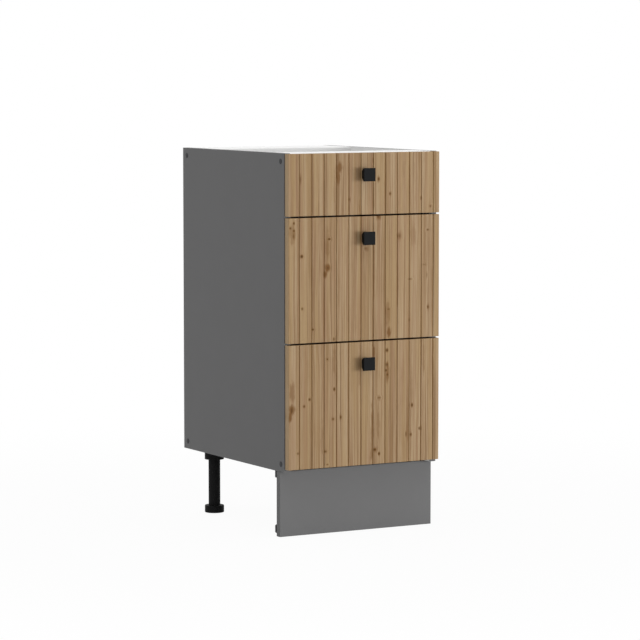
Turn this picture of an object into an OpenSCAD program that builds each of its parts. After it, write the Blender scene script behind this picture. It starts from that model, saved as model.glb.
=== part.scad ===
// Kitchen base cabinet with three drawers, on adjustable legs with a clip-on plinth.
// Inside the modules X starts at the left side's outer face, Y at the carcass's front edge and
// runs towards the wall, and Z starts at the sides' lower edge. in_place() moves that to the
// cabinet's own frame: on the floor, centred left to right and front to back.

/* [Carcass] */
// Overall width of the cabinet
cabinet_w = 400; // [350:10:600]
// Height of the sides, without the legs
carcass_h = 720; // [700:10:800]
// Depth of the sides
carcass_d = 500; // [450:10:600]
// Thickness of the sides and the bottom board
board_t = 16; // [15:1:18]
// How far the bottom board sits above the sides' lower edge
bottom_raise = 10; // [8:1:14]
// Thickness of the back panel
back_t = 3; // [2.5:0.5:5]
// Distance from the sides' rear edge to the back panel
back_inset = 9; // [8:1:20]
// Depth of the grooves that hold the back panel
groove_d = 8; // [6:1:9]

/* [Top rails] */
// Depth of the front rail
front_rail_d = 80; // [60:5:120]
// Depth of the rear rail
rear_rail_d = 120; // [60:5:140]
// Sheet thickness of the rails
rail_t = 1.5; // [1.2:0.1:2]
// Height of the rails' front and rear flanges
rail_flange_h = 20; // [16:1:24]
// Height of the rails' end tabs
rail_end_h = 30; // [28:1:32]
// Distance between the two holes for worktop screws
worktop_holes = 200; // [100:10:260]
// Diameter of the holes for worktop screws
worktop_hole_d = 5.5; // [4.5:0.5:7]

/* [Screws and caps] */
// Length of the screws into the bottom board
carcass_screw_l = 50; // [40:5:60]
// Shank diameter of the carcass screws
carcass_screw_d = 5; // [4:0.5:6]
// Distance from the front edge to the front screws
screw_front_y = 16; // [14:1:24]
// Distance from the rear edge to the rear screws
screw_rear_y = 20; // [20:1:30]
// Distance from the top edge to the rail screws
screw_top_z = 18; // [16:1:20]
// Diameter of the cover caps
cap_d = 12.5; // [11.5:0.5:15]
// How far the caps stand proud
cap_t = 1; // [0.6:0.1:1.5]

/* [Legs and plinth] */
// Height from the floor to the sides' lower edge
leg_h = 150; // [130:5:180]
// Diameter of the leg tubes
leg_tube_d = 28; // [26:1:32]
// Diameter of the feet and the sockets
leg_foot_d = 46; // [44:1:48]
// Height of the feet
leg_foot_h = 17; // [12:1:22]
// How far the sockets reach below the sides' lower edge
socket_drop = 22; // [16:1:30]
// Space between the legs' plates and the sides
leg_clear = 1; // [0.5:0.5:20]
// Distance from the carcass's front edge to the front legs' centre
leg_front_y = 78; // [74:1:100]
// Distance from the sides' rear edge to the rear legs' centre
leg_rear_y = 70; // [50:5:100]
// How far the feet screw out
foot_travel = 25; // [10:5:30]
// Distance from the carcass's front edge to the plinth's face
plinth_y = 20; // [16:1:30]

/* [Drawer fronts] */
// Height of the top front
top_front_h = 140; // [140:2:180]
// Thickness of the fronts
front_t = 16; // [15:1:19]
// Gap between two fronts
front_gap = 4; // [2:0.5:5]
// Distance from the fronts' ends to the sides' outer faces
front_inset = 2; // [1:0.5:2]
// Distance from the bottom front to the sides' lower edge
front_rise = 7; // [4:1:10]
// Space between the fronts and the carcass's front edge
front_clear = 1; // [0.8:0.1:2]
// Distance from one groove to the next
groove_pitch = 32; // [24:1:48]
// Distance from the fronts' left end to the first groove
groove_first = 27.5; // [12:0.5:40]
// Width of the grooves at the face
groove_w = 3.5; // [2:0.5:6]
// Depth of the grooves
groove_deep = 2; // [1:0.5:4]

/* [Knobs] */
// Width and height of the square plate
knob_size = 30; // [24:1:40]
// Thickness of the plate
knob_plate_t = 3; // [2:0.5:8]
// Distance from the front to the knob's face
knob_out = 22; // [20:1:30]
// Width and height of the knob's neck where it meets the front
knob_base = 16; // [12:1:20]
// Distance from a front's top edge to the knob's centre
knob_drop = 49; // [40:1:60]

/* [Drawers] */
// Space between the runners and the back panel
runner_clear = 36; // [30:1:60]
// Space between the lowest runners and the bottom board
runner_gap = 3; // [1:0.5:6]
// Space between the top drawer's sides and the rails
rail_clear = 13; // [4:1:20]
// Height of the other drawers' sides
tall_side_h = 150; // [120:5:200]
// Sheet thickness of the runners and the drawer sides
steel_t = 1.2; // [1:0.1:1.2]
// Thickness of the drawers' floor and back boards
box_board_t = 16; // [12:1:16]
// Diameter of the rollers
roller_d = 16; // [14:0.5:16]
// Length of the runners that stays in the cabinet when a drawer is pulled out
runner_kept = 100; // [90:10:200]

/* [Hidden] */
$fn = 48;

// Clearances: round screws, pins and dowels in their holes, under a roller, round a roller's pin,
// beside a roller, round the drawer's boards and round the back panel
screw_gap = 0.05;
slide_gap = 0.3;
roller_gap = 0.05;
roller_play = 0.2;
box_gap = 0.5;
back_gap = 0.1;
// How far a cut runs past a face, and the least step between two faces
past = 1;
hair = 0.01;
// Bevel on the fronts' and the knobs' edges
edge = 0.8;

// Where things stand in the carcass
inner_w = cabinet_w - 2 * board_t;
back_y = carcass_d - back_inset - back_t;
back_top_gap = 2;
rear_screw_y = carcass_d - screw_rear_y;
rail_screw_z = carcass_h - screw_top_z;
bottom_screw_z = bottom_raise + board_t / 2;
front_face_y = -front_clear - front_t;
overall_front_y = front_face_y - knob_out;
frame_y = -(overall_front_y + carcass_d) / 2;

// Screws, dowels and buffers of the carcass
screw_head_d = 10;
screw_head_h = 3.2;
hex_d = 4.6;
hex_h = 3;
peg_gap = 0.3;
cap_edge_h = 0.4 * cap_t;
cap_shoulder_h = 0.9 * cap_t;
cap_shoulder_in = 1.2;
rail_bolt_in = 10;
rail_bolt_l = board_t + rail_bolt_in;
dowel_d = 8;
dowel_l = 30;
dowel_in_side = 12;
dowel_y = 125;
dowel_places = [dowel_y, carcass_d - dowel_y];
back_screw_l = 20;
back_screw_end = 40;
back_screw_places = [for (k = [-1 : 1]) cabinet_w / 2 + k * (inner_w / 2 - back_screw_end)];
buffer_d = 8;
buffer_end = 20;
buffer_t = front_clear - 0.1;

// Rails: the lips, the bend and the threaded collars and locating pins on the end tabs
rail_lip = 7;
rail_bend = 2;
collar_d = 9;
collar_l = 8;
rail_pin_d = 6;
rail_pin_l = 7;
rail_pin_y = 24;
front_pin_y = front_rail_d - rail_pin_y;
rear_rail_y = back_y - rear_rail_d;
rear_pin_y = rear_rail_y + rail_pin_y;

// Fronts, counted from the bottom: 0, 1 and 2
BOTTOM = 0;
MIDDLE = 1;
TOP = 2;
front_w = cabinet_w - 2 * front_inset;
front_top_gap = 1;
tall_front_h = (carcass_h - front_top_gap - front_rise - top_front_h - 2 * front_gap) / 2;
function front_h(i) = i == TOP ? top_front_h : tall_front_h;
function front_z(i) = front_rise + i * (tall_front_h + front_gap);
function knob_z(i) = front_z(i) + front_h(i) - knob_drop;
groove_count = floor((front_w - groove_first - groove_w) / groove_pitch) + 1;

// Runners: heights are measured from the channel's underside
runner_rise = bottom_raise + board_t + runner_gap - front_rise;
function runner_z(i) = front_z(i) + runner_rise;
runner_y = 2;
runner_l = back_y - runner_y - runner_clear;
drawer_travel = runner_l - runner_kept;
sheet_bend = 1;
roller_r = roller_d / 2;
roller_z = steel_t + slide_gap + roller_r;
flange_z = roller_z + roller_r + slide_gap;
channel_play = 0.5;
channel_h = flange_z + 2 * steel_t + channel_play;
channel_w = 11;
channel_top_w = 9.6;
lip_h = 3.4;
lane_x = 2.8;
lane_w = 6.4;
roller_edge = 0.8;
roller_rim = 2;
roller_slope = 0.6;
roller_hub = 1.2;
pin_d = 5;
pin_head_d = 7.6;
pin_head_t = 0.9;
pin_head_x = lane_x + lane_w + roller_play;
pin_start_x = lane_x - roller_play;
roller_from_front = 14;
roller_from_rear = 12;
cabinet_roller_y = runner_y + roller_from_front;
drawer_roller_y = runner_l - roller_from_rear;
stop_gap = 0.5;
stop_t = 3.5;
stop_h = 5;
stop_y = drawer_roller_y - drawer_travel - roller_r - stop_gap;
runner_screw_pitch = 192;
runner_screw_y = 37;
runner_screw_end = 10;
runner_screw_places = [for (y = [runner_screw_y : runner_screw_pitch : runner_l - runner_screw_end]) y];

// Drawer box: widths are measured from the carcass side's inner face
low_side_h = carcass_h - rail_flange_h - rail_clear - runner_z(TOP);
function side_h(i) = i == TOP ? low_side_h : tall_side_h;
wall_x = 12;
hem_w = 8;
hem_h = 8;
ledge_w = 12;
ledge_z = 4;
flange_x = 2;
flange_weld = 18;
bead_in = 2.4;
bead_z = 60;
bead_h = 28;
bead_slope = 4;
box_y = -front_clear;
box_short = 2;
box_l = runner_l - box_short;
box_end_y = box_y + box_l;
floor_z = ledge_z + steel_t;
floor_x = wall_x + steel_t + box_gap;
floor_screw_x = wall_x + ledge_w / 2;
floor_screw_end = 60;
floor_screw_places = [for (k = [0 : 2]) floor_screw_end + k * (box_l - 2 * floor_screw_end) / 2];
back_x = wall_x + steel_t + bead_in + box_gap;
back_z = floor_z + box_board_t;
back_drop = 2;
box_back_y = box_end_y - box_board_t;
tab_w = 18;
tab_screw_in = 8;
tab_screw_low = 14;
tab_screw_high = 18;
tab_screw_x = back_x + tab_screw_in;
function tab_screw_heights(i) = [back_z + tab_screw_low, side_h(i) - tab_screw_high];
bracket_l = 40;
bracket_w = 24;
bracket_h = 30;
bracket_lift = 6;
bracket_z = back_z + bracket_lift;
bracket_bend = 1.5;
bracket_screw_end = 8;

// Small screws
small_screw_d = 3.5;
small_head_d = 7;
small_head_h = 2;
small_head_taper = 2;
shank_in_head = 1;
small_screw_l = 14;
knob_screw_d = 4;
knob_screw_in = 8;
knob_screw_head = 2.4;

// Legs
plate_w = 56;
plate_t = 5;
plate_r = 8;
plate_screw = 22;
tube_top = bottom_raise - plate_t;
tube_cap = 5;
tube_wall = 3.5;
spindle_d = leg_tube_d - 2 * tube_wall;
spindle_grip = 35;
spindle_l = foot_travel + spindle_grip;
spindle_tip = 2;
foot_gap = 0.2;
foot_bevel = 1;
foot_shoulder = 1;
foot_top = leg_foot_h - leg_h;
leg_x = board_t + leg_clear + plate_w / 2;
rear_leg_y = carcass_d - leg_rear_y;
leg_places = [[leg_x, leg_front_y], [cabinet_w - leg_x, leg_front_y],
              [leg_x, rear_leg_y], [cabinet_w - leg_x, rear_leg_y]];

// Plinth
plinth_gap = 0.5;
plinth_h = leg_h - 2 * plinth_gap;
clip_below_middle = 10;
clip_z = -leg_h / 2 - clip_below_middle;
clip_h = 20;
clip_t = 2.2;
clip_base_w = 44;
clip_base_t = 3;
clip_base_y = plinth_y + board_t;
clip_neck_w = 16;
clip_arm = 8;
clip_screw_x = 15;

anthracite = "#616161";
white = "#ECECEA";
oak = "#9A8061";
steel_white = "#E4E4E2";
zinc = "#B4B6B8";
black = "#1A1A1A";
nylon = "#DADAD2";
fibreboard = "#E6E6E4";
beech = "#C8A878";

// Placing helpers
module in_place() translate([-cabinet_w / 2, frame_y, leg_h]) children();
module right_hand() translate([cabinet_w, 0, 0]) mirror([1, 0, 0]) children();
module both_sides() {
    children();
    right_hand() children();
}
// A drawing in X and Z, drawn out along Y
module along_y(y, l) translate([0, y + l, 0]) rotate([90, 0, 0]) linear_extrude(l) children();
// A drawing in Y and Z, drawn out along X
module along_x(x, l) translate([x, 0, 0]) rotate([90, 0, 90]) linear_extrude(l) children();
// A cylinder that starts at a point and runs along X
module rod_x(p, d, l) translate(p) rotate([0, 90, 0]) cylinder(d = d, h = l);
// A cylinder that starts at a point and runs along Y
module rod_y(p, d, l) translate(p + [0, l, 0]) rotate([90, 0, 0]) cylinder(d = d, h = l);

// Folded sheet: a strip of thickness t along a path whose corners are bent with radius r
bend_steps = 3;
function unit(v) = v / norm(v);
function square_to(v) = [-v.y, v.x];
function bend(p, q, s, r) =
    let (a = unit(p - q), b = unit(s - q), half = acos(a * b) / 2,
         c = q + unit(a + b) * r / sin(half),
         v0 = q + a * r / tan(half) - c, v1 = q + b * r / tan(half) - c, w = 180 - 2 * half)
    [for (k = [0 : bend_steps])
        c + (v0 * sin(w * (1 - k / bend_steps)) + v1 * sin(w * k / bend_steps)) / sin(w)];
function bent(path, r) =
    concat([path[0]],
           [for (i = [1 : len(path) - 2]) each bend(path[i - 1], path[i], path[i + 1], r)],
           [path[len(path) - 1]]);
function side_step(path, i) =
    let (n = len(path) - 1,
         a = unit(path[min(i, n - 1) + 1] - path[min(i, n - 1)]),
         b = unit(path[max(i, 1)] - path[max(i, 1) - 1]))
    (square_to(a) + square_to(b)) / (1 + a * b);
module folded(path, t, r) {
    line = bent(path, r);
    last = len(line) - 1;
    polygon(concat([for (i = [0 : last]) line[i] + side_step(line, i) * t / 2],
                   [for (i = [last : -1 : 0]) line[i] - side_step(line, i) * t / 2]));
}

// Screws that run along X from the left side's outer face, with a hexagon socket
module side_screw(y, z, l) {
    difference() {
        union() {
            rod_x([0, y, z], screw_head_d, screw_head_h);
            rod_x([0, y, z], carcass_screw_d, l);
        }
        translate([-past, y, z]) rotate([0, 90, 0]) cylinder(d = hex_d, h = hex_h + past, $fn = 6);
    }
}
module side_screw_hole(y, z, l) {
    rod_x([-past, y, z], screw_head_d + 2 * screw_gap, screw_head_h + screw_gap + past);
    rod_x([0, y, z], carcass_screw_d + 2 * screw_gap, l + past);
}
// A small screw: its head lies against the plane at Z 0 and its shank runs along +Z
module small_screw(l) {
    translate([0, 0, -small_head_h])
        cylinder(d1 = small_head_d - small_head_taper, d2 = small_head_d, h = small_head_h);
    cylinder(d = small_screw_d, h = l);
}
small_hole_d = small_screw_d + 2 * screw_gap;
module small_hole(l) translate([0, 0, -hair]) cylinder(d = small_hole_d, h = l + past);

// Carcass
module side_board() {
    difference() {
        cube([board_t, carcass_d, carcass_h]);
        translate([board_t - groove_d, back_y - back_gap, -past])
            cube([groove_d + past, back_t + 2 * back_gap, carcass_h + 2 * past]);
        for (y = [screw_front_y, rear_screw_y], z = [bottom_screw_z, rail_screw_z])
            side_screw_hole(y, z, board_t);
        for (y = dowel_places)
            rod_x([board_t - dowel_in_side - back_gap, y, bottom_screw_z],
                  dowel_d + 2 * screw_gap, dowel_in_side + past);
        for (y = [front_pin_y, rear_pin_y])
            rod_x([board_t - rail_pin_l - back_gap, y, rail_screw_z],
                  rail_pin_d + 2 * screw_gap, rail_pin_l + past);
        for (i = [BOTTOM, MIDDLE, TOP], y = runner_screw_places)
            rod_x([board_t - small_screw_l, y, runner_z(i) + roller_z], small_hole_d, small_screw_l + past);
    }
}
module side_left() in_place() color(anthracite) side_board();
module side_right() in_place() color(anthracite) right_hand() side_board();

module bottom_panel() in_place() color(white) difference() {
    translate([board_t, 0, bottom_raise]) cube([inner_w, back_y, board_t]);
    both_sides() {
        for (y = [screw_front_y, rear_screw_y]) side_screw_hole(y, bottom_screw_z, carcass_screw_l);
        for (y = dowel_places)
            rod_x([board_t - past, y, bottom_screw_z],
                  dowel_d + 2 * screw_gap, dowel_l - dowel_in_side + past + back_gap);
    }
    for (place = leg_places, dx = [-plate_screw, plate_screw], dy = [-plate_screw, plate_screw])
        translate([place.x + dx, place.y + dy, bottom_raise]) small_hole(small_screw_l - plate_t);
    for (x = back_screw_places)
        rod_y([x, back_y - back_screw_l, bottom_screw_z], small_hole_d, back_screw_l + past);
}

// A lipped channel lying flat, with an end tab, a threaded collar and a locating pin at each end
module rail(y0, d, screw_y, pin_y) {
    half = rail_t / 2;
    low = half - rail_flange_h;
    path = [[rail_lip, low], [half, low], [half, -half],
            [d - half, -half], [d - half, low], [d - rail_lip, low]];
    difference() {
        union() {
            along_x(board_t, inner_w) translate([y0, carcass_h]) folded(path, rail_t, rail_bend);
            both_sides() {
                translate([board_t, y0 + rail_t, carcass_h - rail_end_h])
                    cube([rail_t, d - 2 * rail_t, rail_end_h - half]);
                rod_x([board_t, screw_y, rail_screw_z], collar_d, collar_l);
                rod_x([board_t - rail_pin_l, pin_y, rail_screw_z], rail_pin_d, rail_pin_l + rail_t);
            }
        }
        both_sides()
            rod_x([board_t - past, screw_y, rail_screw_z], carcass_screw_d + 2 * screw_gap, rail_bolt_l);
        for (x = [-1, 1])
            translate([cabinet_w / 2 + x * worktop_holes / 2, y0 + d / 2, carcass_h - rail_t - past])
                cylinder(d = worktop_hole_d, h = rail_t + 2 * past);
    }
}
module front_rail() in_place() color(steel_white)
    rail(0, front_rail_d, screw_front_y, front_pin_y);
module rear_rail() in_place() color(steel_white)
    rail(rear_rail_y, rear_rail_d, rear_screw_y, rear_pin_y);

module back_panel() in_place() color(fibreboard) difference() {
    translate([board_t - groove_d + box_gap, back_y, bottom_raise])
        cube([inner_w + 2 * (groove_d - box_gap), back_t, carcass_h - bottom_raise - back_top_gap]);
    for (x = back_screw_places)
        rod_y([x, back_y - past, bottom_screw_z], small_hole_d, back_t + 2 * past);
}

module carcass_screws() in_place() color(zinc) {
    both_sides() for (y = [screw_front_y, rear_screw_y]) {
        side_screw(y, bottom_screw_z, carcass_screw_l);
        side_screw(y, rail_screw_z, rail_bolt_l);
    }
    for (x = back_screw_places)
        translate([x, back_y + back_t, bottom_screw_z]) rotate([90, 0, 0]) small_screw(back_screw_l);
}

// A domed cap over a screw head, with a hexagon peg in the screw's socket
module cap(y, z) translate([0, y, z]) rotate([0, -90, 0]) {
    r = cap_d / 2;
    rotate_extrude() polygon([[0, 0], [r, 0], [r, cap_edge_h], [r - cap_shoulder_in, cap_shoulder_h],
                              [r / 2, cap_t], [0, cap_t]]);
    translate([0, 0, peg_gap - hex_h]) cylinder(d = hex_d - peg_gap, h = hex_h, $fn = 6);
}
module screw_caps() in_place() color(anthracite)
    both_sides() for (y = [screw_front_y, rear_screw_y], z = [bottom_screw_z, rail_screw_z]) cap(y, z);

module dowels() in_place() color(beech)
    both_sides() for (y = dowel_places)
        rod_x([board_t - dowel_in_side, y, bottom_screw_z], dowel_d, dowel_l);

module buffers() in_place() color(nylon)
    both_sides() for (i = [BOTTOM, MIDDLE, TOP], z = [buffer_end, front_h(i) - buffer_end])
        rod_y([board_t / 2, -buffer_t, front_z(i) + z], buffer_d, buffer_t);

// Cabinet runner: a channel with a lip, a roller pin in front, a stop for the drawer's roller
// and a closed rear end
module runner(i) translate([board_t, 0, runner_z(i)]) difference() {
    half = steel_t / 2;
    union() {
        along_y(runner_y, runner_l)
            folded([[channel_w - half, lip_h], [channel_w - half, half], [half, half],
                    [half, channel_h - half], [channel_top_w, channel_h - half]], steel_t, sheet_bend);
        rod_x([half, cabinet_roller_y, roller_z], pin_head_d, pin_start_x - half);
        rod_x([half, cabinet_roller_y, roller_z], pin_d, pin_head_x + pin_head_t - half);
        rod_x([pin_head_x, cabinet_roller_y, roller_z], pin_head_d, pin_head_t);
        translate([half, stop_y - stop_t, half]) cube([channel_w - 2 * steel_t, stop_t, stop_h]);
        translate([half, runner_y + runner_l - steel_t, half])
            cube([channel_top_w - steel_t, steel_t, channel_h - steel_t]);
    }
    for (y = runner_screw_places)
        rod_x([-past, y, roller_z], small_head_d + 2 * screw_gap, steel_t + 2 * past);
}
// The runner's screws fill its holes: a flat head in the channel's web and a shank in the side
module runner_screw(i, y) {
    rod_x([board_t, y, runner_z(i) + roller_z], small_head_d, steel_t);
    rod_x([board_t - small_screw_l + shank_in_head, y, runner_z(i) + roller_z], small_screw_d, small_screw_l);
}
module top_runner_left() in_place() color(steel_white) runner(TOP);
module top_runner_right() in_place() color(steel_white) right_hand() runner(TOP);
module middle_runner_left() in_place() color(steel_white) runner(MIDDLE);
module middle_runner_right() in_place() color(steel_white) right_hand() runner(MIDDLE);
module bottom_runner_left() in_place() color(steel_white) runner(BOTTOM);
module bottom_runner_right() in_place() color(steel_white) right_hand() runner(BOTTOM);
module runner_screws() in_place() color(zinc)
    both_sides() for (i = [BOTTOM, MIDDLE, TOP], y = runner_screw_places) runner_screw(i, y);

// Rollers: a nylon wheel with a rim, a hub and a bore, one on each side of the cabinet
module roller(y, z) translate([board_t + lane_x, y, z]) rotate([0, 90, 0]) rotate_extrude() {
    bore_r = pin_d / 2 + roller_gap;
    rim_r = roller_r - roller_rim;
    hub_r = bore_r + roller_hub;
    web = lane_w - roller_edge;
    polygon([[bore_r, 0], [roller_r - roller_edge, 0], [roller_r, roller_edge], [roller_r, web],
             [roller_r - roller_edge, lane_w], [rim_r, lane_w], [rim_r - roller_slope, web],
             [hub_r + roller_slope, web], [hub_r, lane_w], [bore_r, lane_w]]);
}
module cabinet_rollers(i) in_place() color(nylon)
    both_sides() roller(cabinet_roller_y, runner_z(i) + roller_z);
module drawer_rollers(i) in_place() color(nylon)
    both_sides() roller(drawer_roller_y, runner_z(i) + roller_z);
module top_cabinet_rollers() cabinet_rollers(TOP);
module middle_cabinet_rollers() cabinet_rollers(MIDDLE);
module bottom_cabinet_rollers() cabinet_rollers(BOTTOM);
module top_drawer_rollers() drawer_rollers(TOP);
module middle_drawer_rollers() drawer_rollers(MIDDLE);
module bottom_drawer_rollers() drawer_rollers(BOTTOM);

// Drawer front: a board with straight grooves, cut through the height of the front
module groove_drawing() {
    half = groove_w / 2;
    polygon([[-half, -past], [-half, 0], [-half / 2, groove_deep],
             [half / 2, groove_deep], [half, 0], [half, -past]]);
}
module front_drawing() difference() {
    polygon([[0, edge], [edge, 0], [front_w - edge, 0], [front_w, edge], [front_w, front_t], [0, front_t]]);
    for (k = [0 : groove_count - 1]) translate([groove_first + k * groove_pitch, 0]) groove_drawing();
}
module drawer_front(i) in_place() color(oak) difference() {
    translate([front_inset, front_face_y, front_z(i)]) linear_extrude(front_h(i)) front_drawing();
    rod_y([cabinet_w / 2, front_face_y - past, knob_z(i)],
          knob_screw_d + 2 * screw_gap, front_t + 2 * past);
    both_sides() bracket_places(i) rotate([90, 0, 0]) small_hole(small_screw_l - steel_t);
}
module top_front() drawer_front(TOP);
module middle_front() drawer_front(MIDDLE);
module bottom_front() drawer_front(BOTTOM);

// Knob: a square plate and a square neck that tapers to the front, with a threaded hole
module knob_drawing() {
    w = knob_size / 2;
    n = knob_base / 2;
    polygon([[-w, edge], [edge - w, 0], [w - edge, 0], [w, edge], [w, knob_plate_t], [n, knob_out],
             [-n, knob_out], [-w, knob_plate_t]]);
}
module knob_bar() translate([0, 0, -knob_size / 2]) linear_extrude(knob_size) knob_drawing();
module knob(i) in_place() color(black) translate([cabinet_w / 2, front_face_y - knob_out, knob_z(i)])
    difference() {
        intersection() {
            knob_bar();
            rotate([0, 90, 0]) knob_bar();
        }
        rod_y([0, knob_out - knob_screw_in - past, 0],
              knob_screw_d + 2 * screw_gap, knob_screw_in + 2 * past);
    }
module knob_screw(i) in_place() color(zinc) translate([cabinet_w / 2, 0, knob_z(i)]) {
    rod_y([0, -front_clear, 0], 2 * knob_screw_d, knob_screw_head);
    rod_y([0, front_face_y - knob_screw_in, 0], knob_screw_d, front_t + knob_screw_in);
}
module top_knob() knob(TOP);
module middle_knob() knob(MIDDLE);
module bottom_knob() knob(BOTTOM);
module top_knob_screw() knob_screw(TOP);
module middle_knob_screw() knob_screw(MIDDLE);
module bottom_knob_screw() knob_screw(BOTTOM);

// Drawer side: one folded sheet with a ledge under the floor, a pressed bead on the tall ones
// and a hem on top; an angle spot-welded outside is the flange that runs on the rollers
module side_drawing(i) {
    half = steel_t / 2;
    x = wall_x + half;
    top = side_h(i) - half;
    bead = i == TOP ? [] : [[x, bead_z], [x + bead_in, bead_z + bead_slope],
                            [x + bead_in, bead_z + bead_h - bead_slope], [x, bead_z + bead_h]];
    folded(concat([[wall_x + ledge_w, ledge_z + half], [x, ledge_z + half]], bead,
                  [[x, top], [wall_x + hem_w - half, top], [wall_x + hem_w - half, top - hem_h]]),
           steel_t, sheet_bend);
    folded([[flange_x, flange_z + half], [wall_x - half, flange_z + half],
            [wall_x - half, flange_z + flange_weld]], steel_t, sheet_bend);
}
module drawer_side(i) translate([board_t, 0, runner_z(i)]) difference() {
    pin_tip_x = pin_start_x - pin_head_t;
    union() {
        along_y(box_y, box_l) side_drawing(i);
        // Rear tab, folded inwards behind the back board
        translate([wall_x, box_end_y - steel_t, floor_z])
            cube([tab_w, steel_t, side_h(i) - floor_z - steel_t]);
        // Rivet pin of the drawer's roller
        rod_x([pin_head_x, drawer_roller_y, roller_z], pin_head_d, wall_x + steel_t / 2 - pin_head_x);
        rod_x([pin_tip_x, drawer_roller_y, roller_z], pin_d, wall_x + steel_t / 2 - pin_tip_x);
        rod_x([pin_tip_x, drawer_roller_y, roller_z], pin_head_d, pin_head_t);
    }
    for (y = floor_screw_places)
        translate([floor_screw_x, y, ledge_z - past]) small_hole(steel_t + past);
    for (z = tab_screw_heights(i))
        rod_y([tab_screw_x, box_end_y - steel_t - past, z], small_hole_d, steel_t + 2 * past);
}
module top_side_left() in_place() color(steel_white) drawer_side(TOP);
module top_side_right() in_place() color(steel_white) right_hand() drawer_side(TOP);
module middle_side_left() in_place() color(steel_white) drawer_side(MIDDLE);
module middle_side_right() in_place() color(steel_white) right_hand() drawer_side(MIDDLE);
module bottom_side_left() in_place() color(steel_white) drawer_side(BOTTOM);
module bottom_side_right() in_place() color(steel_white) right_hand() drawer_side(BOTTOM);

// Drawer boards
module drawer_floor(i) in_place() color(white) difference() {
    translate([board_t + floor_x, 0, runner_z(i) + floor_z])
        cube([inner_w - 2 * floor_x, box_end_y - steel_t, box_board_t]);
    both_sides() for (y = floor_screw_places)
        translate([board_t + floor_screw_x, y, runner_z(i) + floor_z])
            small_hole(small_screw_l - steel_t);
}
module top_floor() drawer_floor(TOP);
module middle_floor() drawer_floor(MIDDLE);
module bottom_floor() drawer_floor(BOTTOM);

module drawer_back(i) in_place() color(white) difference() {
    translate([board_t + back_x, box_back_y - steel_t, runner_z(i) + back_z])
        cube([inner_w - 2 * back_x, box_board_t, side_h(i) - back_z - hem_h - back_drop]);
    both_sides() for (z = tab_screw_heights(i))
        rod_y([board_t + tab_screw_x, box_end_y - small_screw_l, runner_z(i) + z],
              small_hole_d, small_screw_l + past);
}
module top_back() drawer_back(TOP);
module middle_back() drawer_back(MIDDLE);
module bottom_back() drawer_back(BOTTOM);

// Front brackets: an angle against the front and along the drawer side, two screws each
module bracket_places(i) for (z = [bracket_screw_end, bracket_h - bracket_screw_end])
    translate([board_t + floor_x + bracket_w - bracket_screw_end, -front_clear, runner_z(i) + bracket_z + z])
        children();
module bracket(i) difference() {
    half = steel_t / 2;
    translate([board_t + floor_x, -front_clear, runner_z(i) + bracket_z]) linear_extrude(bracket_h)
        folded([[half, bracket_l], [half, half], [bracket_w, half]], steel_t, bracket_bend);
    bracket_places(i) translate([0, steel_t + past, 0]) rotate([90, 0, 0]) small_hole(steel_t + past);
}
module drawer_brackets(i) in_place() color(zinc) both_sides() bracket(i);
module top_brackets() drawer_brackets(TOP);
module middle_brackets() drawer_brackets(MIDDLE);
module bottom_brackets() drawer_brackets(BOTTOM);

// Screws of the drawer box: through the brackets, the ledges and the rear tabs
module box_screws(i) in_place() color(zinc) both_sides() {
    bracket_places(i) translate([0, steel_t, 0]) rotate([90, 0, 0]) small_screw(small_screw_l);
    for (y = floor_screw_places)
        translate([board_t + floor_screw_x, y, runner_z(i) + ledge_z]) small_screw(small_screw_l);
    for (z = tab_screw_heights(i))
        translate([board_t + tab_screw_x, box_end_y, runner_z(i) + z])
            rotate([90, 0, 0]) small_screw(small_screw_l);
}
module top_box_screws() box_screws(TOP);
module middle_box_screws() box_screws(MIDDLE);
module bottom_box_screws() box_screws(BOTTOM);

// Legs
module rounded_plate(w, r, t) linear_extrude(t) {
    square([w - 2 * r, w], center = true);
    square([w, w - 2 * r], center = true);
    for (x = [-1, 1], y = [-1, 1]) translate([x, y] * (w / 2 - r)) circle(r);
}
module at_legs() for (place = leg_places) translate([place.x, place.y, 0]) children();
module at_plate_screws() for (x = [-1, 1], y = [-1, 1])
    translate([x * plate_screw, y * plate_screw, tube_top]) children();
module leg_sockets() in_place() color(black) at_legs() difference() {
    union() {
        translate([0, 0, tube_top]) rounded_plate(plate_w, plate_r, plate_t);
        translate([0, 0, -socket_drop]) cylinder(d = leg_foot_d, h = socket_drop + tube_top + past);
    }
    translate([0, 0, -socket_drop - past])
        cylinder(d = leg_tube_d + 2 * screw_gap, h = socket_drop + tube_top + past);
    at_plate_screws() translate([0, 0, -past]) small_hole(plate_t + past);
}
module leg_tubes() in_place() color(black) at_legs() difference() {
    translate([0, 0, foot_top + foot_gap]) cylinder(d = leg_tube_d, h = tube_top - foot_top - foot_gap);
    translate([0, 0, foot_top - past])
        cylinder(d = spindle_d + 2 * screw_gap, h = tube_top - tube_cap - foot_top + past);
}
module leg_screws() in_place() color(zinc) at_legs() at_plate_screws() small_screw(small_screw_l);

// Foot: a disc with a shoulder, and the spindle that screws into the tube
module foot(place) in_place() color(black) translate([place.x, place.y, -leg_h]) {
    r = leg_foot_d / 2;
    tip_z = leg_foot_h + spindle_l;
    rotate_extrude()
        polygon([[0, 0], [r - foot_bevel, 0], [r, foot_bevel], [r, leg_foot_h - foot_shoulder],
                 [r - foot_shoulder, leg_foot_h], [spindle_d / 2, leg_foot_h],
                 [spindle_d / 2, tip_z - spindle_tip], [spindle_d / 2 - spindle_tip, tip_z], [0, tip_z]]);
}
module foot_front_left() foot(leg_places[0]);
module foot_front_right() foot(leg_places[1]);
module foot_rear_left() foot(leg_places[2]);
module foot_rear_right() foot(leg_places[3]);

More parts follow.
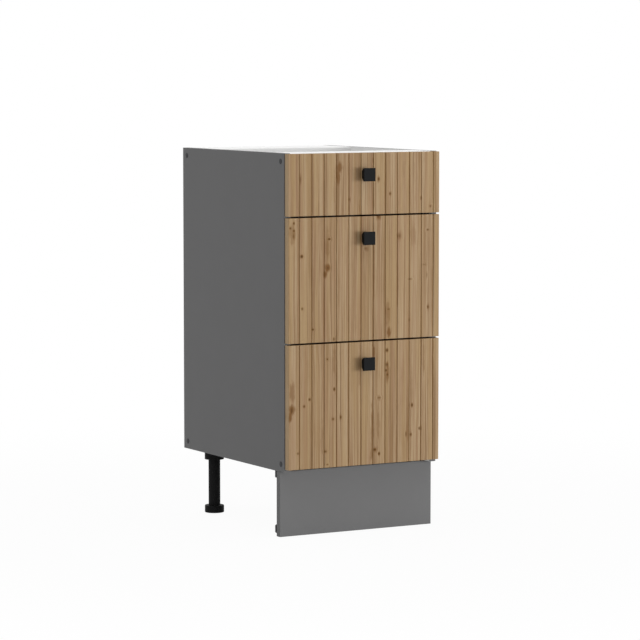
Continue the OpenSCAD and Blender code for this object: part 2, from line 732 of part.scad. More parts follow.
// Plinth: a board in front of the legs, held by fork clips on the front leg tubes
module at_clip_screws(y) for (x = [-1, 1])
    translate([leg_x + x * clip_screw_x, y, clip_z]) rotate([90, 0, 0]) children();
module plinth_board() in_place() color(anthracite) difference() {
    translate([0, plinth_y, plinth_gap - leg_h]) cube([cabinet_w, board_t, plinth_h]);
    both_sides() at_clip_screws(clip_base_y) small_hole(small_screw_l - clip_base_t);
}
module clip_drawing() {
    inner = leg_tube_d / 2 + slide_gap;
    outer = inner + clip_t;
    base_y = clip_base_y - leg_front_y;
    difference() {
        union() {
            circle(outer);
            translate([-outer, 0]) square([2 * outer, clip_arm]);
            translate([-clip_neck_w / 2, base_y]) square([clip_neck_w, -base_y - inner]);
            translate([-clip_base_w / 2, base_y]) square([clip_base_w, clip_base_t]);
        }
        circle(inner);
        translate([-inner, 0]) square([2 * inner, outer + past]);
    }
}
module plinth_clips() in_place() color(black) both_sides() difference() {
    translate([leg_x, leg_front_y, clip_z - clip_h / 2]) linear_extrude(clip_h) clip_drawing();
    at_clip_screws(clip_base_y + clip_base_t + past) small_hole(clip_base_t + past);
}
module plinth_clip_screws() in_place() color(zinc)
    both_sides() at_clip_screws(clip_base_y + clip_base_t) small_screw(small_screw_l);

side_left();
side_right();
bottom_panel();
front_rail();
rear_rail();
back_panel();
carcass_screws();
screw_caps();
dowels();
buffers();
top_runner_left();
top_runner_right();
middle_runner_left();
middle_runner_right();
bottom_runner_left();
bottom_runner_right();
runner_screws();
leg_sockets();
leg_tubes();
leg_screws();
top_front();
top_knob();
top_knob_screw();
top_side_left();
top_side_right();
top_floor();
top_back();
top_brackets();
top_box_screws();
middle_front();
middle_knob();
middle_knob_screw();
middle_side_left();
middle_side_right();
middle_floor();
middle_back();
middle_brackets();
middle_box_screws();
bottom_front();
bottom_knob();
bottom_knob_screw();
bottom_side_left();
bottom_side_right();
bottom_floor();
bottom_back();
bottom_brackets();
bottom_box_screws();
top_cabinet_rollers();
top_drawer_rollers();
middle_cabinet_rollers();
middle_drawer_rollers();
bottom_cabinet_rollers();
bottom_drawer_rollers();
foot_front_left();
foot_front_right();
foot_rear_left();
foot_rear_right();
plinth_board();
plinth_clips();
plinth_clip_screws();
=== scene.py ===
# Kitchen base cabinet with three drawers: finishes, floor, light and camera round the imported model.
# Lengths are metres in the cabinet's own frame, unless a name ends in mm.
import math

import bpy
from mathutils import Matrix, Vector


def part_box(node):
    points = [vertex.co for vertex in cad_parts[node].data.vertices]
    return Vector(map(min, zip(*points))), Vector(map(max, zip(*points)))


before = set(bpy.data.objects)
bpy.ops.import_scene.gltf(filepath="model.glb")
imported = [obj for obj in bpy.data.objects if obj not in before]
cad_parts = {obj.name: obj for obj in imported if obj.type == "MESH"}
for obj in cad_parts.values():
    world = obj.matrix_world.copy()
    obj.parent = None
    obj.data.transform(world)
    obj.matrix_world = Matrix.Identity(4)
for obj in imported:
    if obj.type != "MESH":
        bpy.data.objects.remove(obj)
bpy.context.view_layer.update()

MM = 0.001
LEVELS = ("top", "middle", "bottom")
SIDES = ("left", "right")

# A board's outer faces, as the axis that they look along and the board's low or high end there
LEFT_FACE = (0, 0)
RIGHT_FACE = (0, 1)
FRONT_FACE = (1, 0)
REAR_FACE = (1, 1)
ALL_FACES = [(axis, end) for axis in range(3) for end in (0, 1)]

# Colours, linear
ANTHRACITE = (0.143, 0.143, 0.144)
WHITE = (0.840, 0.840, 0.832)
POWDER_WHITE = (0.830, 0.830, 0.824)
CHIPBOARD_LIGHT = (0.560, 0.400, 0.240)
CHIPBOARD_DARK = (0.330, 0.205, 0.105)
HARDBOARD_LIGHT = (0.215, 0.120, 0.060)
HARDBOARD_DARK = (0.120, 0.062, 0.030)
OAK_LIGHT = (0.382, 0.272, 0.160)
OAK_MIDDLE = (0.320, 0.212, 0.117)
OAK_DARK = (0.243, 0.146, 0.069)
OAK_LINE = (0.168, 0.092, 0.038)
OAK_PORE = (0.17496, 0.10512, 0.04968)
OAK_GOLD = (0.342, 0.228, 0.110)
OAK_ROSE = (0.288, 0.171, 0.094)
OAK_RUST = (0.153, 0.068, 0.017)
# Painted light: a lighter oak for the fronts' end faces, standing in for the light that they catch
OAK_END_PAINTED_LIGHT = (0.450, 0.325, 0.195)
# Painted shade: a darker, warmer oak for the grooves' walls and floors, where shade falls
OAK_GROOVE_SHADE = (0.300, 0.165, 0.055)
KNOT_EDGE = (0.146, 0.061, 0.009)
KNOT_HEART = (0.058, 0.024, 0.004)
BLACK_PLASTIC = (0.0115, 0.0115, 0.0117)
KNOB_BLACK = (0.0050, 0.0056, 0.0061)
CAP_GREY = (0.070, 0.070, 0.072)
ZINC_LIGHT = (0.588, 0.5985, 0.6195)
ZINC_DARK = (0.448, 0.456, 0.472)
NYLON = (0.740, 0.735, 0.700)
BEECH_LIGHT = (0.620, 0.430, 0.265)
BEECH_DARK = (0.440, 0.275, 0.150)
RUBBER = (0.640, 0.640, 0.630)
LIGHT_WHITE = (1.0, 1.0, 1.0)

# Where most values of a noise lie
NOISE_LOW = 0.3
NOISE_HIGH = 0.7


class Nodes:
    """A node tree that is built by short calls; most calls return the socket that they make."""

    def __init__(self, tree):
        self.nodes = tree.nodes
        self.links = tree.links

    def put(self, socket, value):
        """Sets a socket to a number or colour, or links it to another socket."""
        if isinstance(value, bpy.types.NodeSocket):
            self.links.new(value, socket)
        elif isinstance(value, tuple) and socket.type == "RGBA":
            socket.default_value = (*value, 1.0)
        else:
            socket.default_value = value

    def add(self, kind, *values):
        """Adds a node and puts the values into its first inputs; returns the node."""
        node = self.nodes.new(f"ShaderNode{kind}")
        for socket, value in zip(node.inputs, values):
            self.put(socket, value)
        return node

    def vector(self, operation, first, second=(0.0, 0.0, 0.0)):
        """The result of a calculation with vectors, which is a number for LENGTH."""
        node = self.add("VectorMath", first, second)
        node.operation = operation
        return node.outputs["Value" if operation == "LENGTH" else "Vector"]

    def math(self, operation, first, second=0.0):
        """The result of a calculation with numbers."""
        node = self.add("Math", first, second)
        node.operation = operation
        return node.outputs[0]

    def axis(self, vector, letter):
        """One of a vector's three numbers."""
        return self.add("SeparateXYZ", vector).outputs[letter]

    def point(self, x, y, z):
        """A vector of three numbers."""
        return self.add("CombineXYZ", x, y, z).outputs[0]

    def noise(self, vector, size, detail=2.0, roughness=0.5):
        """Noise from 0 to 1 whose lumps are about size across, in the vector's own units."""
        node = self.nodes.new("ShaderNodeTexNoise")
        inputs = {"Vector": vector, "Scale": 1 / size, "Detail": detail, "Roughness": roughness}
        for name, value in inputs.items():
            self.put(node.inputs[name], value)
        return node.outputs["Fac"]

    def spread(self, value, low, high, to_low=0.0, to_high=1.0, smooth=False):
        """Maps low..high to to_low..to_high, and stops at the ends."""
        node = self.add("MapRange", value, low, high, to_low, to_high)
        if smooth:
            node.interpolation_type = "SMOOTHSTEP"
        return node.outputs["Result"]

    def swing(self, noise, to_low, to_high):
        """Maps the usual range of a noise to to_low..to_high."""
        return self.spread(noise, NOISE_LOW, NOISE_HIGH, to_low, to_high)

    def mix(self, amount, first, second):
        """The first colour where amount is 0, and the second where it is 1."""
        node = self.add("Mix", amount)
        node.data_type = "RGBA"
        ends = [socket for socket in node.inputs if socket.type == "RGBA"]
        for socket, colour in zip(ends, (first, second)):
            self.put(socket, colour)
        return next(socket for socket in node.outputs if socket.type == "RGBA")

    def tint(self, base, colour, value, low, high, most=1.0):
        """Lays a colour over the base: none of it where value is low, and most where it is high."""
        return self.mix(self.spread(value, low, high, 0.0, most), base, colour)

    def seen_directly(self):
        """A socket that is 1 for camera, glossy and transmitted rays."""
        rays = self.nodes.new("ShaderNodeLightPath").outputs
        either = rays["Is Camera Ray"]
        for name in ("Is Glossy Ray", "Is Transmission Ray"):
            either = self.math("MAXIMUM", either, rays[name])
        return either


class Finish(Nodes):
    """A surface's material. Its place is a point's place in the cabinet's frame, in millimetres."""

    def __init__(self, name, roughness, specular=0.5, metallic=0.0):
        self.material = bpy.data.materials.new(name)
        self.material.use_nodes = True
        super().__init__(self.material.node_tree)
        self.surface = self.nodes["Principled BSDF"]
        self.put(self.surface.inputs["Roughness"], roughness)
        self.put(self.surface.inputs["Specular IOR Level"], specular)
        self.put(self.surface.inputs["Metallic"], metallic)
        metres = self.nodes.new("ShaderNodeTexCoord").outputs["Object"]
        self.place = self.vector("MULTIPLY", metres, (1 / MM, 1 / MM, 1 / MM))

    def stretched(self, across=1.0, deep=1.0, up=1.0):
        """The place, with each axis multiplied, so that a pattern is finer along an axis above 1."""
        return self.vector("MULTIPLY", self.place, (across, deep, up))

    def vary(self, amount, colour, share):
        """The colour, darker by a share where amount is 0 and lighter by it where amount is 1."""
        darker = tuple(channel * (1 - share) for channel in colour)
        lighter = tuple(channel * (1 + share) for channel in colour)
        return self.mix(amount, darker, lighter)

    def bump(self, height, depth_mm, strength=1.0):
        """Makes the surface rough to the light, without changing its shape."""
        node = self.nodes.new("ShaderNodeBump")
        inputs = {"Strength": strength, "Distance": depth_mm * MM, "Height": height}
        for name, value in inputs.items():
            self.put(node.inputs[name], value)
        self.put(self.surface.inputs["Normal"], node.outputs["Normal"])

    def paint(self, colour, roughness=None):
        """Gives the surface its colour, and a roughness that varies where one is passed."""
        self.put(self.surface.inputs["Base Color"], colour)
        if roughness is not None:
            self.put(self.surface.inputs["Roughness"], roughness)
        return self.material


# Finishes: the sizes of their patterns are in millimetres
def laminate(name, colour):
    """Matt melamine-faced board: a fine pearl texture and a slight unevenness of tone."""
    finish = Finish(name, roughness=0.5, specular=0.15)
    pearl = finish.noise(finish.place, size=0.9, detail=3.0, roughness=0.6)
    cloud = finish.noise(finish.place, size=60.0)
    tone = finish.math("ADD", finish.swing(pearl, 0.0, 0.75), finish.swing(cloud, 0.0, 0.25))
    finish.bump(pearl, depth_mm=0.05, strength=0.35)
    return finish.paint(finish.vary(tone, colour, share=0.045), roughness=finish.swing(pearl, 0.46, 0.58))


def chipboard(name):
    """Raw cut chipboard: flat flakes of several tones."""
    finish = Finish(name, roughness=0.85, specular=0.2)
    flakes = finish.nodes.new("ShaderNodeTexVoronoi")
    finish.put(flakes.inputs["Vector"], finish.stretched(deep=0.45, up=0.45))
    finish.put(flakes.inputs["Scale"], 0.9)
    tone = finish.axis(flakes.outputs["Color"], 0)
    dust = finish.noise(finish.place, size=0.5, detail=3.0)
    finish.bump(finish.math("ADD", tone, dust), depth_mm=0.12)
    return finish.paint(finish.mix(finish.math("MULTIPLY", tone, dust), CHIPBOARD_LIGHT, CHIPBOARD_DARK))


def hardboard(name):
    """The bare rear face of the back panel: pressed brown fibres."""
    finish = Finish(name, roughness=0.8, specular=0.2)
    fibres = finish.noise(finish.place, size=2.2, detail=6.0, roughness=0.75)
    patches = finish.noise(finish.place, size=45.0, detail=3.0)
    patchy = finish.spread(patches, low=0.35, high=0.65, to_high=0.3)
    tone = finish.math("ADD", finish.swing(fibres, 0.0, 0.7), patchy)
    finish.bump(fibres, depth_mm=0.08, strength=0.6)
    return finish.paint(finish.mix(tone, HARDBOARD_DARK, HARDBOARD_LIGHT))


def powder_coat(name, colour):
    """Powder-coated sheet steel: soft orange peel and a low sheen."""
    finish = Finish(name, roughness=0.42, specular=0.4)
    peel = finish.noise(finish.place, size=1.6, detail=1.5)
    cloud = finish.noise(finish.place, size=40.0)
    finish.bump(peel, depth_mm=0.03, strength=0.4)
    return finish.paint(finish.vary(cloud, colour, share=0.03), roughness=finish.swing(peel, 0.38, 0.48))


def moulded(name, colour, roughness, specular=0.05):
    """Moulded plastic with a fine spark-eroded grain."""
    finish = Finish(name, roughness=roughness, specular=specular)
    grain = finish.noise(finish.place, size=0.5)
    cloud = finish.noise(finish.place, size=18.0)
    finish.bump(grain, depth_mm=0.05, strength=0.5)
    shade = finish.vary(cloud, colour, share=0.12)
    return finish.paint(shade, roughness=finish.swing(grain, roughness - 0.06, roughness + 0.06))


def lacquer(name, colour):
    """Satin lacquer on die-cast metal."""
    finish = Finish(name, roughness=0.6, specular=0.085)
    grain = finish.noise(finish.place, size=0.7)
    finish.bump(grain, depth_mm=0.02, strength=0.35)
    return finish.paint(finish.vary(grain, colour, share=0.1), roughness=finish.swing(grain, 0.55, 0.66))


def zinc_plate(name):
    """Bright zinc plating with faint brushing and darker patches."""
    finish = Finish(name, roughness=0.32, metallic=1.0)
    patches = finish.noise(finish.place, size=3.5, detail=3.0)
    scratches = finish.noise(finish.stretched(up=8.0), size=1.2)
    finish.bump(scratches, depth_mm=0.01, strength=0.4)
    shade = finish.mix(patches, ZINC_DARK, ZINC_LIGHT)
    return finish.paint(shade, roughness=finish.swing(patches, 0.26, 0.42))


def beech(name):
    """Turned beech with its grain along the dowel."""
    finish = Finish(name, roughness=0.6, specular=0.3)
    rays = finish.noise(finish.stretched(across=0.12), size=0.8, detail=3.0)
    return finish.paint(finish.mix(rays, BEECH_DARK, BEECH_LIGHT))


# Oak-look fronts: where the grooves are, across from the cabinet's middle plane
FIRST_GROOVE_MM = -170.5
GROOVE_PITCH_MM = 32.0
GROOVE_DEPTH_MM = 2.0

# Knots: across from the middle, above the floor, half width, half height, darkness
KNOTS_MM = {
    "top": (
        (36, 809, 3.0, 4.5, 0.8), (66, 775, 3.0, 4.5, 0.7), (149, 763, 2.6, 6, 0.7),
        (174, 744, 3.2, 4, 0.45), (21, 851, 2.6, 8, 0.4), (-167, 812, 2.4, 12, 0.4),
        (-41, 764, 2.4, 4, 0.4)),
    "middle": (
        (-184, 714, 2.6, 4, 0.85), (-193, 703, 3, 3.4, 0.7), (-184, 697, 2.6, 3.4, 0.85),
        (-185, 685, 3, 7, 0.4), (-164, 639, 4.0, 4.6, 1.0), (-93, 676, 4.6, 2.8, 0.85),
        (35, 724, 4, 5, 0.75), (91, 678, 5, 7, 0.35), (2, 652, 4.4, 3.4, 0.3), (167, 690, 3.6, 3, 0.6),
        (-163, 521, 3.4, 4, 0.55), (168, 512, 3.0, 5, 0.7), (120, 578, 5.4, 1.8, 0.5),
        (63, 511, 4.4, 2.6, 0.45), (-135, 473, 2.8, 3, 0.8), (-81, 449, 3, 5, 0.6),
        (118, 484, 2.4, 5, 0.35), (158, 610, 4, 2, 0.3), (165, 586, 2.4, 9, 0.3),
        (-97, 611, 4.6, 6, 0.5), (-103, 598, 2.6, 6, 0.35)),
    "bottom": (
        (-98, 404, 2.4, 3, 0.7), (-144, 315, 3.4, 4, 0.8), (-158, 300, 3.4, 4, 0.65),
        (-80, 335, 3.2, 5, 0.9), (59, 417, 3.6, 5, 0.95), (59, 384, 4, 6, 0.7), (57, 371, 3, 3.4, 0.8),
        (60, 361, 3.4, 4, 0.75), (-83, 267, 3.4, 4, 0.6), (-63, 270, 2.6, 5, 0.75),
        (38, 309, 6, 2.6, 0.4), (126, 287, 3.6, 5.6, 0.85), (146, 232, 3.6, 4.6, 0.65),
        (123, 219, 3.2, 4.4, 0.75), (110, 221, 2.4, 8, 0.55), (27, 190, 3.8, 4, 0.95),
        (38, 180, 3.2, 4.6, 0.95), (-103, 194, 4, 3.4, 0.6), (-174, 194, 3.4, 3.6, 0.5),
        (-98, 164, 3.4, 2.4, 0.5), (-190, 292, 3.0, 12, 0.65)),
}
# Rusty smears round the larger knots and along the grain, given the same way
SMEARS_MM = {
    "top": (
        (-66, 837, 8, 11, 1.0), (-71, 815, 5, 16, 0.95), (-79, 780, 2.6, 44, 0.45),
        (36, 810, 4.4, 8, 0.6), (-14, 745, 2.4, 16, 0.6), (22, 756, 3, 30, 0.5),
        (53, 790, 2.6, 50, 0.4), (118, 800, 2.6, 60, 0.25)),
    "middle": (
        (-97, 611, 9, 9, 1.0), (-104, 597, 5, 9, 1.0), (-98, 660, 6, 36, 0.6), (-188, 690, 8, 22, 0.55),
        (64, 459, 6, 11, 1.0), (61, 500, 6.4, 26, 0.6), (37, 724, 5, 8, 0.8), (4, 651, 6, 5, 0.5),
        (91, 678, 6, 10, 0.35), (128, 680, 8, 24, 0.35), (86, 560, 2.5, 50, 0.45),
        (24, 600, 2.5, 90, 0.35), (-106, 500, 2.5, 60, 0.4), (180, 540, 2.6, 70, 0.35),
        (-136, 560, 2.4, 70, 0.35)),
    "bottom": (
        (28, 190, 7, 8, 0.5), (-188, 335, 6.4, 22, 0.65), (-189, 294, 6.4, 11, 1.0),
        (-194, 278, 4, 12, 1.0), (20, 245, 4, 48, 0.7), (19, 185, 4.6, 26, 0.7), (38, 308, 5.4, 7, 0.5),
        (36, 245, 3.4, 44, 0.6), (60, 366, 4, 24, 0.8), (157, 398, 2.6, 44, 0.6),
        (125, 320, 2.6, 50, 0.4), (114, 235, 2.8, 34, 0.5), (-80, 400, 3, 40, 0.5),
        (-112, 225, 3.4, 34, 0.35), (23, 415, 3.6, 22, 0.9), (-14, 385, 3, 44, 0.4),
        (182, 350, 2.6, 80, 0.4)),
}

# Where a mark starts to fade and has gone, and how far it pushes the grain, in its own half sizes
HEART_FADE = (0.15, 0.8)
HALO_FADE = (0.45, 1.4)
SMEAR_FADE = (0.4, 1.5)
PUSH_REACH = 3.0
# Share of its distance from the knot's middle by which the grain is pushed there
PUSH_SHARE = 0.75
# How unevenly a smear's edge runs, in its own half sizes
RAGGED = 0.35

# Steps through the noise from one front, or one strip between two grooves, to the next
FRONT_STEP = 31.7
STRIP_STEP = 50.0
STRIP_ALONG_MM = 700.0
# The grain wanders from a straight line: how the place is stretched, the lumps' size and the most
WANDER_STRETCH = (0.25, 90.0, 0.02)
WANDER_SIZE = 6.0
WANDER_MM = 5.0
# The tone of the darkest and the lightest strip
STRIP_TONES = (0.42, 0.62)

# Painted shade in the grooves, as a darker and warmer foil: the depth where it starts, the amount, and
# where it ends past the bottom
GROOVE_SHADE_START_MM = 0.15
GROOVE_SHADE_AMOUNT = 0.45
GROOVE_SHADE_PAST_MM = (0.1, 0.4)
# Painted light on the front's ends, as a lighter foil: how far in it starts and is full, and the amount
END_LIGHT_START_MM = 0.4
END_LIGHT_FULL_MM = 0.05
END_LIGHT_AMOUNT = 0.65


def strip_chance(finish, x, seed):
    """A chance number from 0 to 1 for each strip between two grooves."""
    pitches = finish.math("DIVIDE", finish.math("SUBTRACT", x, FIRST_GROOVE_MM), GROOVE_PITCH_MM)
    chance = finish.nodes.new("ShaderNodeTexWhiteNoise")
    chance.noise_dimensions = "1D"
    finish.put(chance.inputs["W"], finish.math("ADD", finish.math("FLOOR", pitches), seed * FRONT_STEP))
    return chance.outputs["Value"]


def distance(finish, x, z, at_x, at_z, half_w, half_h):
    """How far a point lies from the middle of a mark, where 1 is the mark's edge."""
    aside = finish.math("DIVIDE", finish.math("SUBTRACT", x, at_x), half_w)
    above = finish.math("DIVIDE", finish.math("SUBTRACT", z, at_z), half_h)
    return finish.vector("LENGTH", finish.point(aside, 0.0, above))


def knot_marks(finish, x, z, knots_mm):
    """The knots' brown halos and dark hearts, and how far they push the grain aside."""
    halo = heart = push = 0.0
    for at_x, at_z, half_w, half_h, dark in knots_mm:
        away = distance(finish, x, z, at_x, at_z, half_w, half_h)
        halo = finish.math("MAXIMUM", halo, finish.spread(away, *HALO_FADE, dark, 0.0, smooth=True))
        heart = finish.math("MAXIMUM", heart, finish.spread(away, *HEART_FADE, dark, 0.0, smooth=True))
        share = finish.spread(away, 0.0, PUSH_REACH, PUSH_SHARE, 0.0, smooth=True)
        push = finish.math("ADD", push, finish.math("MULTIPLY", share, finish.math("SUBTRACT", x, at_x)))
    return halo, heart, push


def smear_marks(finish, x, z, smears_mm):
    """The rusty smears, with ragged edges."""
    ragged = finish.swing(finish.noise(finish.stretched(up=0.3), size=5.0), -RAGGED, RAGGED)
    rust = 0.0
    for at_x, at_z, half_w, half_h, amount in smears_mm:
        away = finish.math("ADD", distance(finish, x, z, at_x, at_z, half_w, half_h), ragged)
        rust = finish.math("MAXIMUM", rust, finish.spread(away, *SMEAR_FADE, amount, 0.0, smooth=True))
    return rust


def groove_shade_and_end_light(finish, x, y, base):
    """Painted shade down in the grooves, as a darker and warmer foil, and painted light on the front's two
    ends, as a lighter foil.
    All three fronts are as wide and as thick as the top one."""
    low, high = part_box("top_front")
    depth = finish.math("SUBTRACT", y, low.y / MM)
    # Painted shade: the foil turns darker and warmer with depth down in the grooves
    sunk_shade = finish.spread(depth, GROOVE_SHADE_START_MM, GROOVE_DEPTH_MM, 0.0, GROOVE_SHADE_AMOUNT)
    past_start, past_end = (GROOVE_DEPTH_MM + past for past in GROOVE_SHADE_PAST_MM)
    in_groove = finish.spread(depth, past_start, past_end, 1.0, 0.0)
    base = finish.mix(finish.math("MULTIPLY", sunk_shade, in_groove), base, OAK_GROOVE_SHADE)
    # Painted light: the fronts' end faces, and the last fraction of a millimetre before them, turn lighter
    end = high.x / MM
    aside = finish.math("ABSOLUTE", x)
    return finish.tint(base, OAK_END_PAINTED_LIGHT, aside, end - END_LIGHT_START_MM, end - END_LIGHT_FULL_MM, most=END_LIGHT_AMOUNT)


def oak(name, knots_mm, smears_mm, seed):
    """Oak-look foil: straight grain that bends round the knots, with its tone shifting at every groove."""
    finish = Finish(name, roughness=0.6, specular=0.12)
    x, y, z = (finish.axis(finish.place, letter) for letter in "XYZ")
    strip = strip_chance(finish, x, seed)
    halo, heart, push = knot_marks(finish, x, z, knots_mm)
    rust = smear_marks(finish, x, z, smears_mm)

    beside = finish.vector("MULTIPLY", finish.point(x, strip, z), WANDER_STRETCH)
    wander = finish.spread(finish.noise(beside, WANDER_SIZE, detail=1.0), 0.0, 1.0, -WANDER_MM, WANDER_MM)
    across = finish.math("ADD", finish.math("SUBTRACT", x, push), wander)
    along = finish.math("ADD", z, finish.math("MULTIPLY", strip, STRIP_ALONG_MM))
    in_grain = finish.point(across, strip, along)

    def streaks(width_mm, length_mm, detail, roughness=0.55):
        """Noise in streaks along the grain, of about this width and length."""
        stretch = (1.0, STRIP_STEP + seed, width_mm / length_mm)
        return finish.noise(finish.vector("MULTIPLY", in_grain, stretch), width_mm, detail, roughness)

    bands = streaks(width_mm=15.0, length_mm=1200.0, detail=1.0)
    ribbons = streaks(width_mm=6.0, length_mm=800.0, detail=1.0)
    grain = streaks(width_mm=2.6, length_mm=420.0, detail=2.0)
    flecks = streaks(width_mm=2.2, length_mm=70.0, detail=2.0)
    pores = streaks(width_mm=0.9, length_mm=26.0, detail=2.0, roughness=0.7)
    lines = streaks(width_mm=2.8, length_mm=520.0, detail=1.0)
    gold = streaks(width_mm=17.0, length_mm=500.0, detail=1.0)
    rose = streaks(width_mm=11.0, length_mm=330.0, detail=2.0)

    # The tone runs from dark to light oak; each kind of streak moves it this far either way
    tone = finish.spread(strip, 0.0, 1.0, *STRIP_TONES)
    for streak, reach in ((bands, 0.16), (ribbons, 0.22), (grain, 0.19), (flecks, 0.15)):
        tone = finish.math("ADD", tone, finish.swing(streak, -reach, reach))
    base = finish.tint(OAK_DARK, OAK_MIDDLE, tone, low=0.22, high=0.5)
    base = finish.tint(base, OAK_LIGHT, tone, low=0.5, high=0.78)
    base = finish.tint(base, OAK_GOLD, gold, low=0.45, high=0.65, most=0.7)
    base = finish.tint(base, OAK_ROSE, rose, low=0.5, high=0.7, most=0.65)
    base = finish.tint(base, OAK_LINE, lines, low=0.58, high=0.74, most=0.8)
    base = finish.tint(base, OAK_PORE, pores, low=0.56, high=0.74, most=0.35)
    streaky = finish.spread(grain, low=0.35, high=0.65, to_low=0.8, to_high=1.0)
    rust = finish.math("MULTIPLY", rust, streaky)
    for amount, colour in ((rust, OAK_RUST), (halo, KNOT_EDGE), (heart, KNOT_HEART)):
        base = finish.mix(amount, base, colour)
    # Painted shade in the grooves and painted light on the fronts' end faces
    base = groove_shade_and_end_light(finish, x, y, base)
    finish.bump(finish.math("ADD", pores, finish.math("MULTIPLY", grain, 0.5)), depth_mm=0.1, strength=0.5)
    return finish.paint(base, roughness=finish.swing(pores, 0.5, 0.62))


# A face is on a board's outer side if it looks that way and lies in that side's plane
FACING = 0.9
FLUSH_MM = 0.05
# How edges are rounded
WELD_MM = 0.002
EDGE_SEGMENTS = 2
SHARP_EDGE = math.radians(40)
INNER_EDGE_MM = 0.3
OUTER_EDGE_MM = 0.5
KNOB_EDGE_MM = 0.5
FRONT_EDGE_MM = 0.6


def dress(nodes, material):
    """Gives each of the nodes one finish all over."""
    for node in nodes:
        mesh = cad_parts[node].data
        mesh.materials.clear()
        mesh.materials.append(material)


def dress_board(node, faces, cut):
    """Finishes a board's outer faces by its box; drilled, grooved and other faces take the cut finish.
    faces gives the material for (axis, end), and end is 0 for the low side and 1 for the high side."""
    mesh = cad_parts[node].data
    mesh.materials.clear()
    kinds = list(dict.fromkeys([cut, *faces.values()]))
    for material in kinds:
        mesh.materials.append(material)
    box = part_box(node)
    for polygon in mesh.polygons:
        polygon.material_index = 0
        for (axis, end), material in faces.items():
            outward = polygon.normal[axis] * (2 * end - 1)
            if outward > FACING and abs(polygon.center[axis] - box[end][axis]) < FLUSH_MM * MM:
                polygon.material_index = kinds.index(material)


def soften(node, width_mm):
    """Rounds a node's sharp edges a little, so that they catch the light."""
    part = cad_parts[node]
    weld = part.modifiers.new("weld", "WELD")
    weld.merge_threshold = WELD_MM * MM
    bevel = part.modifiers.new("edges", "BEVEL")
    bevel.width = width_mm * MM
    bevel.segments = EDGE_SEGMENTS
    bevel.limit_method = "ANGLE"
    bevel.angle_limit = SHARP_EDGE
    bevel.use_clamp_overlap = True
    bevel.harden_normals = True


def finish_boards(white):
    """The boards of the carcass, the plinth and the drawer boxes."""
    anthracite = laminate("anthracite_laminate", ANTHRACITE)
    core = chipboard("chipboard_core")
    grey_all_over = {face: anthracite for face in ALL_FACES}
    white_all_over = {face: white for face in ALL_FACES}
    dress_board("side_left", {**grey_all_over, RIGHT_FACE: white}, core)
    dress_board("side_right", {**grey_all_over, LEFT_FACE: white}, core)
    dress_board("plinth_board", grey_all_over, core)
    for node in ("side_left", "side_right", "plinth_board"):
        soften(node, OUTER_EDGE_MM)
    for node in ["bottom_panel"] + [f"{level}_{board}" for level in LEVELS for board in ("floor", "back")]:
        dress_board(node, white_all_over, core)
        soften(node, INNER_EDGE_MM)
    dress_board("back_panel", {FRONT_FACE: white}, hardboard("bare_hardboard"))


def finish_fronts(white):
    """Each drawer's front and knob."""
    black = lacquer("black_lacquer", KNOB_BLACK)
    for seed, level in enumerate(LEVELS):
        foil = oak(f"oak_foil_{level}", KNOTS_MM[level], SMEARS_MM[level], seed)
        dress_board(f"{level}_front", {REAR_FACE: white}, foil)
        soften(f"{level}_front", FRONT_EDGE_MM)
        dress([f"{level}_knob"], black)
        soften(f"{level}_knob", KNOB_EDGE_MM)


def finish_hardware():
    """Everything of sheet steel, screw steel, plastic, rubber and solid wood."""
    steel = powder_coat("white_powder_coat", POWDER_WHITE)
    zinc = zinc_plate("zinc_plate")
    nylon = moulded("natural_nylon", NYLON, roughness=0.4, specular=0.4)
    black_plastic = moulded("black_plastic_grain", BLACK_PLASTIC, roughness=0.5)
    for level in LEVELS:
        dress([f"{level}_{piece}_{side}" for piece in ("side", "runner") for side in SIDES], steel)
        dress([f"{level}_{piece}" for piece in ("knob_screw", "brackets", "box_screws")], zinc)
        dress([f"{level}_{carrier}_rollers" for carrier in ("cabinet", "drawer")], nylon)
    dress(["front_rail", "rear_rail"], steel)
    dress(["carcass_screws", "runner_screws", "leg_screws", "plinth_clip_screws"], zinc)
    feet = [f"foot_{end}_{side}" for end in ("front", "rear") for side in SIDES]
    dress(["leg_sockets", "leg_tubes", "plinth_clips"] + feet, black_plastic)
    dress(["screw_caps"], moulded("cap_grey", CAP_GREY, roughness=0.5))
    dress(["buffers"], moulded("clear_rubber", RUBBER, roughness=0.35, specular=0.4))
    dress(["dowels"], beech("beech"))


def finish_cabinet():
    white = laminate("white_laminate", WHITE)
    finish_boards(white)
    finish_fronts(white)
    finish_hardware()


# The floor is white to the camera, keeps a soft shadow round the cabinet and fades out to the surround
FLOOR_HALF = 30.0
FLOOR_COLOUR = (0.60, 0.60, 0.60)
FLOOR_GLOW = 0.955
SHADOW_REACH_MM = 700.0
SHADOW_END_MM = 2000.0


def make_floor():
    mesh = bpy.data.meshes.new("floor")
    corners = [(x * FLOOR_HALF, y * FLOOR_HALF, 0.0) for x, y in ((-1, -1), (1, -1), (1, 1), (-1, 1))]
    mesh.from_pydata(corners, [], [(0, 1, 2, 3)])
    floor = bpy.data.objects.new("floor", mesh)
    bpy.context.scene.collection.objects.link(floor)
    finish = Finish("floor_white", roughness=1.0, specular=0.0)
    away = finish.vector("LENGTH", finish.place)
    whiteness = finish.spread(away, SHADOW_REACH_MM, SHADOW_END_MM, FLOOR_GLOW, 1.0, smooth=True)
    amount = finish.math("MULTIPLY", finish.seen_directly(), whiteness)
    glow = finish.add("Emission", LIGHT_WHITE)
    blend = finish.add("MixShader", amount, finish.surface.outputs[0], glow.outputs[0])
    finish.put(finish.nodes["Material Output"].inputs["Surface"], blend.outputs[0])
    mesh.materials.append(finish.paint(FLOOR_COLOUR))


# Light: an even white surround, a wide softbox in front on the right and a broad light from above
SURROUND = 0.59
KEY_IRRADIANCE = 1.54
KEY_TURN = math.radians(31)
KEY_DISTANCE = 5.0
KEY_MIDDLE_HEIGHT = 0.65
KEY_SIZE = (2.8, 1.3)
TOP_STRENGTH = 1.35
TOP_SOFTNESS = math.radians(70)


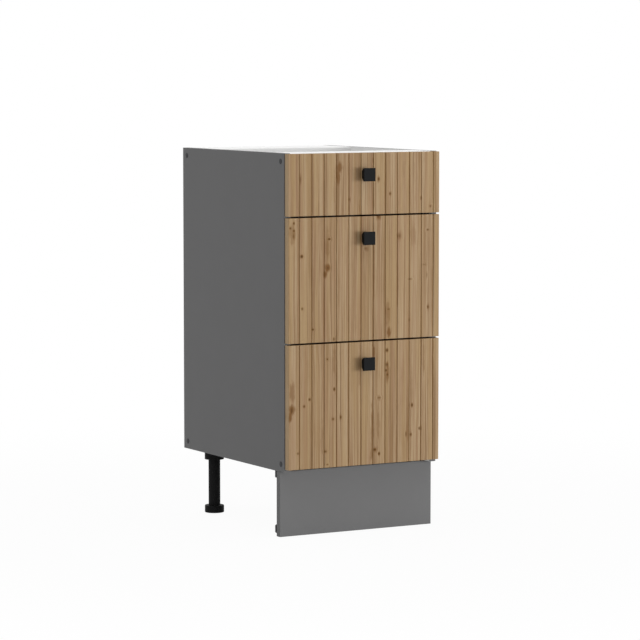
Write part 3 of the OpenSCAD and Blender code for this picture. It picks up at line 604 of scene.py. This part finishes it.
def make_world():
    """An even surround that the camera, reflections and transmitted rays see as white."""
    world = bpy.data.worlds.new("surround")
    bpy.context.scene.world = world
    world.use_nodes = True
    sky = Nodes(world.node_tree)
    background = sky.nodes["Background"]
    sky.put(background.inputs["Color"], LIGHT_WHITE)
    sky.put(background.inputs["Strength"], sky.spread(sky.seen_directly(), 0.0, 1.0, SURROUND, 1.0))


def hang_lamp(light, towards, place=(0.0, 0.0, 0.0)):
    """Puts a lamp at a place, shining from the given direction."""
    lamp = bpy.data.objects.new(light.name, light)
    lamp.location = place
    lamp.rotation_mode = "QUATERNION"
    lamp.rotation_quaternion = Vector(towards).to_track_quat("Z", "Y")
    lamp.visible_camera = False
    bpy.context.scene.collection.objects.link(lamp)


def make_lights():
    above = bpy.data.lights.new("above", "SUN")
    above.energy = TOP_STRENGTH
    above.angle = TOP_SOFTNESS
    hang_lamp(above, (0.0, 0.0, 1.0))
    softbox = bpy.data.lights.new("softbox", "AREA")
    softbox.shape = "RECTANGLE"
    softbox.size, softbox.size_y = KEY_SIZE
    softbox.energy = KEY_IRRADIANCE * math.pi * KEY_DISTANCE ** 2
    towards = Vector((math.sin(KEY_TURN), -math.cos(KEY_TURN), 0.0))
    hang_lamp(softbox, towards, towards * KEY_DISTANCE + Vector((0.0, 0.0, KEY_MIDDLE_HEIGHT)))


# Camera: fitted to the photograph's corners, 640 pixels wide
IMAGE_PX = 640
FOCAL_PX = 2950.8
SENSOR_MM = 36.0
CAMERA_PLACE = (-3.3732, -6.0211, 1.0827)
CAMERA_TURN = math.radians(29.422)
CAMERA_TILT = math.radians(5.075)


def make_camera():
    data = bpy.data.cameras.new("camera")
    data.sensor_width = SENSOR_MM
    data.lens = FOCAL_PX * SENSOR_MM / IMAGE_PX
    camera = bpy.data.objects.new("camera", data)
    camera.location = CAMERA_PLACE
    camera.rotation_euler = (math.pi / 2 - CAMERA_TILT, 0.0, -CAMERA_TURN)
    bpy.context.scene.collection.objects.link(camera)
    bpy.context.scene.camera = camera


make_camera()
make_world()
make_lights()
make_floor()
finish_cabinet()
bpy.context.scene.view_settings.view_transform = "Standard"
